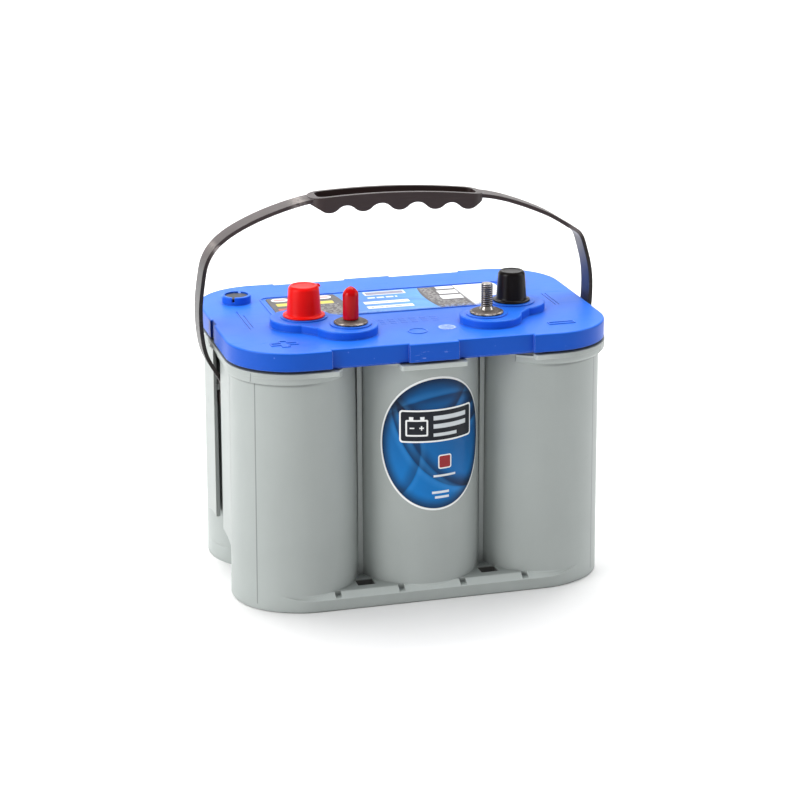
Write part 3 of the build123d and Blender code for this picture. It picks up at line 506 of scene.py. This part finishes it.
def top_label_paint():
    """Printed film on the cover: dark ends, a light blue middle, and plain generic patches and bars."""
    paint = Paint("top_label_print", IOR=1.5, Specular_IOR_Level=0.25, Coat_Weight=0.2, Coat_Roughness=0.2)
    x, y = paint.x, paint.y
    white, dark, grey = colour(232, 234, 236), colour(66, 60, 60), colour(182, 180, 178)

    def patch(base, middle, half, corner, tone):
        return paint.sheet(base, x, y, middle, half, corner, tone, 0.15)

    # Left end: bounded by an arc, with plain rounded patches.
    fade = paint.step(paint.plus(x, paint.times(y, -0.7)), -40.0, 20.0)
    base = paint.mix(fade, colour(34, 118, 206), colour(72, 150, 226))
    sweep = paint.away(paint.ring_distance(x, y, (-10.0, -60.0)), 84.0)
    base = paint.mix(paint.times(paint.step(sweep, 5.0, 0.0), 0.35), base, colour(20, 84, 170))
    base = paint.mix(paint.step(paint.ring_distance(x, y, (-130.0, 25.0)), 98.2, 97.8), base, dark)
    for middle in ((-72.7, 40.8), (-43.0, 40.8)):
        base = patch(base, middle, (6.0, 4.2), 4.1, white)
        base = patch(base, middle, (4.4, 2.4), 2.3, colour(206, 150, 148))
    for middle in ((-72.0, 28.5), (-44.0, 27.5)):
        base = patch(base, middle, (5.6, 3.4), 1.0, colour(214, 196, 60))
    base = patch(base, (-73.0, 15.0), (5.6, 4.2), 1.0, colour(176, 60, 54))
    # Middle: plain bars, two of them white with a dashed line.
    base = patch(base, (0.5, 40.6), (14.5, 4.4), 0.8, colour(222, 226, 236))
    base = patch(base, (0.5, 40.6), (13.4, 3.2), 0.4, colour(132, 128, 150))
    dashes = paint.waves(x, 6.5, -0.9, -0.7)
    base = paint.mix(paint.times(paint.box_mask(x, y, (-15.0, 7.0), (28.4, 31.2), 0.3), dashes, 0.85), base, white)
    base = paint.mix(paint.times(paint.band(y, 24.3, 24.8, 0.15), 0.5), base, colour(30, 80, 150))
    for low, high, first in ((14.6, 20.6, -19.5), (3.0, 9.0, -20.0)):
        base = paint.mix(paint.box_mask(x, y, (first, 12.0), (low, high)), base, white)
        line = paint.box_mask(x, y, (first + 2.5, 9.0), (low + 2.2, high - 2.2), 0.2)
        base = paint.mix(paint.times(line, dashes, 0.8), base, colour(84, 88, 98))
    # Right end: dark, bounded by a long arc, with a column of white boxes.
    base = paint.mix(paint.step(paint.ring_distance(x, y, (147.8, 25.4)), 124.2, 123.8), base, dark)
    grain = paint.step(paint.noise(1.5, 1.0, 0.5, (1.6, 1.0, 1.0)), 0.44, 0.54)
    box_lines = paint.waves(y, 3.1, 0.3, 0.8)
    for low, high, first in ((39.6, 46.0, 38.0), (27.0, 36.0, 36.4), (13.6, 23.4, 35.0)):
        base = paint.mix(paint.box_mask(x, y, (first, 50.0), (low, high)), base, white)
        inside = paint.box_mask(x, y, (first + 1.5, 48.5), (low + 1.2, high - 1.2), 0.2)
        base = paint.mix(paint.times(inside, grain, box_lines, 0.6), base, colour(96, 98, 104))
    # Blocks of fine broken rows on both dark ends.
    rows = paint.times(paint.waves(y, 2.4, 0.0, 0.5), grain, 0.75)
    for across, up, tone in (((-58.0, -36.0), (-3.0, 23.0), colour(176, 174, 172)),
                             ((26.0, 34.5), (10.0, 45.0), grey), ((29.0, 49.0), (-3.0, 10.5), grey)):
        base = paint.mix(paint.times(paint.box_mask(x, y, across, up, 0.3), rows), base, tone)
    # White panel at the far right, with a dark edge and thin lines.
    edge = paint.op("SUBTRACT", x, paint.plus(50.8, paint.times(paint.op("SUBTRACT", 20.0, y), 0.03)))
    corner = paint.step(edge, -0.2, 0.2)
    base = paint.mix(corner, base, white)
    base = paint.mix(paint.times(paint.band(edge, 0.0, 0.9, 0.2), 0.75), base, colour(70, 66, 64))
    lines = paint.times(corner, paint.step(x, 53.5, 54.0), paint.step(x, 80.0, 79.0),
                        paint.waves(y, 6.0, 0.55, 0.80), 0.60)
    base = paint.mix(lines, base, colour(112, 126, 136))
    # Peeled and soiled lower corner by the stud, rubbed lower edge.
    peel = paint.step(paint.ring_distance(x, y, (52.0, -6.5), 1.6), 13.0, 7.0)
    soil = paint.times(peel, paint.step(paint.noise(2.6, 5.0, 0.7, distortion=0.8), 0.47, 0.60))
    base = paint.mix(paint.times(soil, 0.8), base, colour(94, 74, 60))
    worn = paint.times(paint.step(y, 1.5, -4.5), paint.step(paint.noise(2.0, 4.0, 0.65), 0.42, 0.60))
    base = paint.mix(paint.times(worn, 0.6), base, colour(120, 158, 222))
    crease = paint.noise(12.0, 4.0, 0.6)
    base = paint.brighten(base, paint.plus(0.93, paint.times(crease, 0.12)))
    rough = paint.plus(0.34, paint.times(crease, 0.14))
    height = paint.plus(paint.times(crease, 0.30), paint.times(worn, 0.05), paint.times(peel, 0.5),
                        paint.times(paint.noise(2.0, 2.0), 0.02))
    return paint.finish(base, rough, paint.bump(height))


def sticker_paint():
    paint = Paint("round_sticker_print", IOR=1.5)
    ring = paint.ring_distance(paint.x, paint.y, STICKER)
    smear = paint.step(paint.noise(2.4, 4.0, 0.6, (1.0, 1.6, 1.0)), 0.36, 0.62)
    base = paint.mix(smear, colour(74, 118, 226), colour(140, 166, 232))
    base = paint.mix(paint.times(paint.band(ring, 4.7, 5.4, 0.1), 0.7), base, colour(176, 196, 240))
    rough = paint.plus(0.34, paint.times(smear, 0.2))
    return paint.finish(base, rough, paint.bump(paint.times(smear, 0.03)))


def inner_paint(name, tone, roughness, size, depth):
    """Parts that only show through gaps: pasted plates, mat, inner lid and valves."""
    paint = Paint(name, IOR=1.5)
    grit = paint.noise(size, 5.0, 0.65)
    base = paint.brighten(tone, paint.plus(0.75, paint.times(grit, 0.5)))
    rough = paint.plus(roughness - 0.1, paint.times(grit, 0.2))
    return paint.finish(base, rough, paint.bump(paint.times(grit, depth)))


# ---------------------------------------------------------------- geometry

def mesh_object(name, points, faces, material):
    """Smooth object from points in millimetres."""
    mesh = bpy.data.meshes.new(name)
    mesh.from_pydata([Vector(point) * 0.001 for point in points], [], faces)
    mesh.materials.append(material)
    mesh.shade_smooth()
    made = bpy.data.objects.new(name, mesh)
    bpy.context.scene.collection.objects.link(made)
    return made


def add_piece(name, points, faces, material, body, replaced):
    """Piece that rides on a CAD body in place of one CAD node."""
    made = mesh_object(name, points, faces, material)
    made.data.validate()
    made.data.update()
    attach(made, body)
    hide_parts(replaced)


def turned_rows(outline, centre, segments, shape):
    """Points and rows of point numbers of a turned piece. An outline point is (radius, height) with anything
    else that shape needs, and shape gives its radius and height at an angle. A radius of 0 is on the axis."""
    points, rows = [], []
    for entry in outline:
        if entry[0] < 1e-6:
            rows.append([len(points)])
            points.append((centre[0], centre[1], entry[1]))
            continue
        row = []
        for index in range(segments):
            angle = 2 * math.pi * index / segments
            radius, height = shape(*entry, angle)
            row.append(len(points))
            points.append((centre[0] + radius * math.cos(angle), centre[1] + radius * math.sin(angle), height))
        rows.append(row)
    return points, rows


def turned_faces(rows, segments):
    """Faces between neighbouring rows, where a row is a full ring or one point on the axis."""
    faces = []
    for lower, upper in zip(rows, rows[1:]):
        for index in range(segments):
            after = (index + 1) % segments
            corners = [lower[index % len(lower)], lower[after % len(lower)],
                       upper[after % len(upper)], upper[index % len(upper)]]
            corners = list(dict.fromkeys(corners))
            if len(corners) > 2:
                faces.append(corners)
    return faces


def round_corners(outline, amount, parts=4):
    """Outline whose inner corners are replaced by short curves that start up to amount from each corner."""
    rounded = [outline[0]]
    for before, here, after in zip(outline, outline[1:], outline[2:]):
        here_v, before_v, after_v = Vector(here), Vector(before), Vector(after)
        cut = min(amount, (here_v - before_v).length * 0.45, (after_v - here_v).length * 0.45)
        start = here_v + (before_v - here_v).normalized() * cut
        end = here_v + (after_v - here_v).normalized() * cut
        for index in range(parts + 1):
            t = index / parts
            rounded.append(tuple(start * (1 - t) ** 2 + here_v * 2 * t * (1 - t) + end * t ** 2))
    rounded.append(outline[-1])
    return rounded


def make_stud(side, material, prefix):
    """Stainless stud with a rolled thread: one surface whose radius follows the helix."""
    low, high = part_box(prefix + "_stud")
    bottom, top = low.z * 1000, high.z * 1000
    head_radius, head_height, segments, steps_per_turn = 6.2, 4.5, 64, 12
    # Each entry is a radius, a height and the share of the thread's full depth.
    outline = [(0, bottom, 0), (head_radius, bottom, 0), (head_radius, bottom + head_height, 0),
               (4.6, bottom + head_height + 0.1, 0), (5.0, 184.6, 0), (5.0, 185.1, 0), (4.7, 185.5, 0),
               (STUD_RADIUS, STUD_NECK_TOP, 0)]
    count = int((top - STUD_NECK_TOP) / THREAD_PITCH * steps_per_turn)
    for index in range(1, count):
        height = STUD_NECK_TOP + (top - STUD_NECK_TOP) * index / count
        share = max(0.0, min(1.0, (height - STUD_NECK_TOP) / 0.9, (top - height) / 1.2))
        outline.append((STUD_RADIUS - max(0.0, 0.9 - (top - height)) * 0.9, height, share))
    outline += [(STUD_RADIUS - 0.95, top, 0), (0, top, 0)]

    def threaded(radius, height, share, angle):
        along = (height / THREAD_PITCH - angle / (2 * math.pi)) % 1.0
        # Flat crest and root with straight flanks.
        rise = min(1.0, max(0.0, (abs(along - 0.5) - 0.07) / 0.34))
        return radius - THREAD_DEPTH * (1 - rise) * share, height

    points, rows = turned_rows(outline, (STUD_X[side], STUD_Y), segments, threaded)
    add_piece(prefix + "_stud_threaded", points, turned_faces(rows, segments), material, "root",
              prefix + "_stud")


def make_post_cap(name, side, material, nib):
    """Push-on cap with a thin brim, softened edges, slightly uneven walls and a dished top."""
    low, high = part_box(name)
    base, top = low.z * 1000, high.z * 1000
    brim = (high.x - low.x) * 500
    segments = 112
    inner_low = 9.9 if nib else 9.1
    inner_high = inner_low - 1.0
    wall_low = inner_low + (1.35 if nib else 1.0)
    wall_high = wall_low - 1.15
    outer = [(0, top - 0.7), (wall_high - 3.4, top - 0.55), (wall_high - 2.4, top), (wall_high - 1.2, top),
             (wall_high, top - 1.7), (wall_low, base + 2.0), (wall_low + 0.9, base + 1.15), (brim, base + 0.95),
             (brim, base)]
    inner = [(inner_low, base), (inner_high, base + 18.4), (0, base + 18.4)]
    outline = round_corners(outer + inner, 0.75, 4)
    phase = 0.7 if nib else 2.1

    def uneven(radius, height, angle):
        up = (height - base) / (top - base)
        wobble = 0.06 * math.sin(2 * angle + phase) + 0.04 * math.sin(5 * angle + 3 * up + phase)
        off_nib = (angle - 0.15) / 0.16
        if nib and abs(off_nib) < 1 and height > top - 2.2 and radius > wall_high - 1.6:
            wobble += 2.0 * math.cos(off_nib * math.pi / 2) ** 2
        lift = 0.12 * math.sin(3 * angle + phase) if up < 0.12 and radius > wall_low + 0.5 else 0.0
        return min(radius + wobble, brim), min(max(height + lift * 0.6, base), top)

    points, rows = turned_rows(outline, (POST_X[side], POST_Y), segments, uneven)
    add_piece(name + "_skin", points, turned_faces(rows, segments), material, name + "_body", name)


def make_stud_cap(material):
    """Dipped sleeve with a blunt tip, a little uneven as dipped vinyl is."""
    low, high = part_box("red_stud_cap")
    base, top = low.z * 1000, high.z * 1000
    outer = (high.x - low.x) * 500
    segments = 80
    outline = [(0, top), (1.4, top - 0.35), (3.0, top - 1.5), (outer - 0.45, top - 3.8), (outer - 0.05, top - 5.4),
               (outer - 0.12, (base + top) / 2), (outer - 0.05, base + 0.9), (outer - 0.3, base),
               (4.95, base), (4.25, base + 3.0), (4.25, top - 4.2), (2.4, top - 2.6), (0, top - 2.2)]
    outline = round_corners(outline, 0.8, 4)

    def uneven(radius, height, angle):
        wobble = 0.05 * math.sin(2 * angle + 0.4) + 0.03 * math.sin(3 * angle + height * 0.5)
        return min(radius + wobble, outer), height

    points, rows = turned_rows(outline, (STUD_X[-1], STUD_Y), segments, uneven)
    add_piece("red_stud_cap_skin", points, turned_faces(rows, segments), material, "red_stud_cap_body",
              "red_stud_cap")


def make_front_label(material):
    """Oval film wrapped round the middle front cell, with a soft edge."""
    rings, segments, film = 26, 160, 0.25
    points, faces = [], []

    def on_cell(s, z, lift):
        """Point at s round the cell and at height z, raised off its wall by lift."""
        share = (z - CELL_FOOT_Z) / (CASE_TOP - CELL_FOOT_Z)
        radius = CELL_FOOT_RADIUS + (CELL_HEAD_RADIUS - CELL_FOOT_RADIUS) * share + lift
        angle = s / CELL_MEAN_RADIUS
        return (radius * math.sin(angle), CELL_Y - radius * math.cos(angle), z)

    points.append(on_cell(LABEL_SHIFT, LABEL_MIDDLE_Z, film))
    # The last rings turn down over the edge and into the wall.
    edge_lifts = {rings: 0.17, rings + 1: 0.02, rings + 2: -0.3}
    for ring in range(1, rings + 3):
        reach = min(ring / rings, 1.0)
        lift = edge_lifts.get(ring, film)
        grow = 0.0 if ring <= rings else 0.12
        for index in range(segments):
            angle = 2 * math.pi * index / segments
            s = LABEL_SHIFT + (LABEL_HALF_LENGTH * reach + grow) * math.cos(angle)
            z = LABEL_MIDDLE_Z + (LABEL_HALF_HEIGHT * reach + grow) * math.sin(angle)
            points.append(on_cell(s, z, lift))
    for index in range(segments):
        faces.append([0, 1 + index, 1 + (index + 1) % segments])
    for ring in range(rings + 1):
        first = 1 + ring * segments
        for index in range(segments):
            after = (index + 1) % segments
            faces.append([first + index, first + segments + index, first + segments + after, first + after])
    add_piece("front_label_film", points, faces, material, "root", "front_label")


# ---------------------------------------------------------------- object

def dress():
    """Gives every CAD node its material and builds the pieces that replace plain ones."""
    lead = lead_paint()
    steel = steel_paint()
    paints = {
        "case_shell": case_paint(),
        "cover": cover_paint(),
        "carry_handle": handle_paint(),
        "positive_terminal": lead,
        "negative_terminal": lead,
        "vent_disc": vent_paint(),
        "top_label": top_label_paint(),
        "round_sticker": sticker_paint(),
        "inner_lid": inner_paint("inner_lid_plastic", colour(40, 42, 46), 0.55, 2.0, 0.03),
        "relief_valve": inner_paint("valve_rubber", colour(26, 26, 28), 0.7, 1.0, 0.03),
        "positive_plate": inner_paint("pasted_plate_brown", colour(84, 50, 38), 0.85, 1.2, 0.12),
        "negative_plate": inner_paint("pasted_plate_grey", colour(112, 114, 116), 0.8, 1.2, 0.12),
        "separator": inner_paint("glass_mat", colour(226, 226, 220), 0.95, 0.5, 0.08),
        "cell_link": lead,
        "positive_end_bar": lead,
        "negative_end_bar": lead,
    }
    red = vinyl_paint("red_cap_moulding", colour(246, 10, 6), 0.36, 0.03)
    black = vinyl_paint("black_cap_moulding", colour(15, 9, 9), 0.30, 0.08)
    dipped = vinyl_paint("red_dipped_vinyl", colour(196, 0, 3), 0.20, 0.10, 0.006)
    # A node takes the paint whose key is the start of its name, and the longest such key.
    for name, node in nodes.items():
        key = max((start for start in paints if name.startswith(start)), key=len, default=None)
        if key:
            node.data.materials.clear()
            node.data.materials.append(paints[key])
    make_front_label(front_label_paint())
    make_stud(-1, steel, "positive")
    make_stud(1, steel, "negative")
    make_post_cap("red_post_cap", -1, red, True)
    make_post_cap("black_post_cap", 1, black, False)
    make_stud_cap(dipped)


# ---------------------------------------------------------------- stage

def make_stage():
    """Pale floor that curves up into a backdrop, and four soft lights."""
    across, front, back, height, bend, steps = 4000.0, -2600.0, 1600.0, 2600.0, 900.0, 16
    profile = [(front, 0.0)]
    for index in range(steps + 1):
        angle = math.pi / 2 * index / steps
        profile.append((back + bend * math.sin(angle), bend * (1 - math.cos(angle))))
    profile.append((back + bend, height))
    points = [(x, y, z) for y, z in profile for x in (-across, across)]
    faces = [[2 * i, 2 * i + 1, 2 * i + 3, 2 * i + 2] for i in range(len(profile) - 1)]
    paint = Paint("studio_paper", Roughness=0.9)
    grain = paint.noise(60.0, 2.0)
    shade = paint.brighten(colour(246, 246, 246), paint.plus(0.995, paint.times(grain, 0.01)))
    mesh_object("studio_floor", points, faces, paint.finish(shade, 0.9))

    def soft_light(name, place, target, size, power, tint=(1, 1, 1)):
        """Rectangular lamp, in metres and watts."""
        data = bpy.data.lights.new(name, "AREA")
        data.shape = "RECTANGLE"
        data.size, data.size_y = size
        data.energy = power
        data.color = tint
        lamp = bpy.data.objects.new(name, data)
        lamp.location = place
        lamp.rotation_euler = (Vector(target) - Vector(place)).to_track_quat("-Z", "Y").to_euler()
        bpy.context.scene.collection.objects.link(lamp)

    middle = (0, 0, 0.1)
    soft_light("key_left", (-1.8, -0.50, 0.80), middle, (1.1, 1.3), 24.0, (1.0, 1.0, 0.99))
    soft_light("top_back", (0.1, 0.55, 1.55), middle, (2.0, 1.4), 36.0)
    soft_light("fill_right", (1.75, -0.45, 0.7), middle, (1.0, 1.2), 9.0, (0.98, 0.99, 1.0))
    soft_light("backdrop", (0.0, 0.9, 2.3), (0, 2.4, 1.1), (3.4, 0.8), 46.0)

    world = bpy.data.worlds.new("studio_world")
    world.use_nodes = True
    background = world.node_tree.nodes["Background"]
    background.inputs["Color"].default_value = (1.0, 1.0, 1.0, 1.0)
    background.inputs["Strength"].default_value = 0.34
    bpy.context.scene.world = world


def make_camera():
    """Long lens from the left of the front, a little above the object."""
    data = bpy.data.cameras.new("camera")
    data.sensor_width = 36.0
    data.lens = 104.1
    data.clip_start, data.clip_end = 0.05, 20.0
    camera = bpy.data.objects.new("camera", data)
    place = Matrix.Translation((-0.3973, -1.4435, 0.5887))
    yaw, pitch, roll = 0.269, 0.308, -0.002
    forward = Vector((math.sin(yaw) * math.cos(pitch), math.cos(yaw) * math.cos(pitch), -math.sin(pitch)))
    aim = forward.to_track_quat("-Z", "Y").to_matrix().to_4x4()
    camera.matrix_world = place @ aim @ Matrix.Rotation(roll, 4, "Z")
    bpy.context.scene.collection.objects.link(camera)
    bpy.context.scene.camera = camera


dress()
make_stage()
make_camera()
bpy.context.scene.view_settings.view_transform = "Standard"
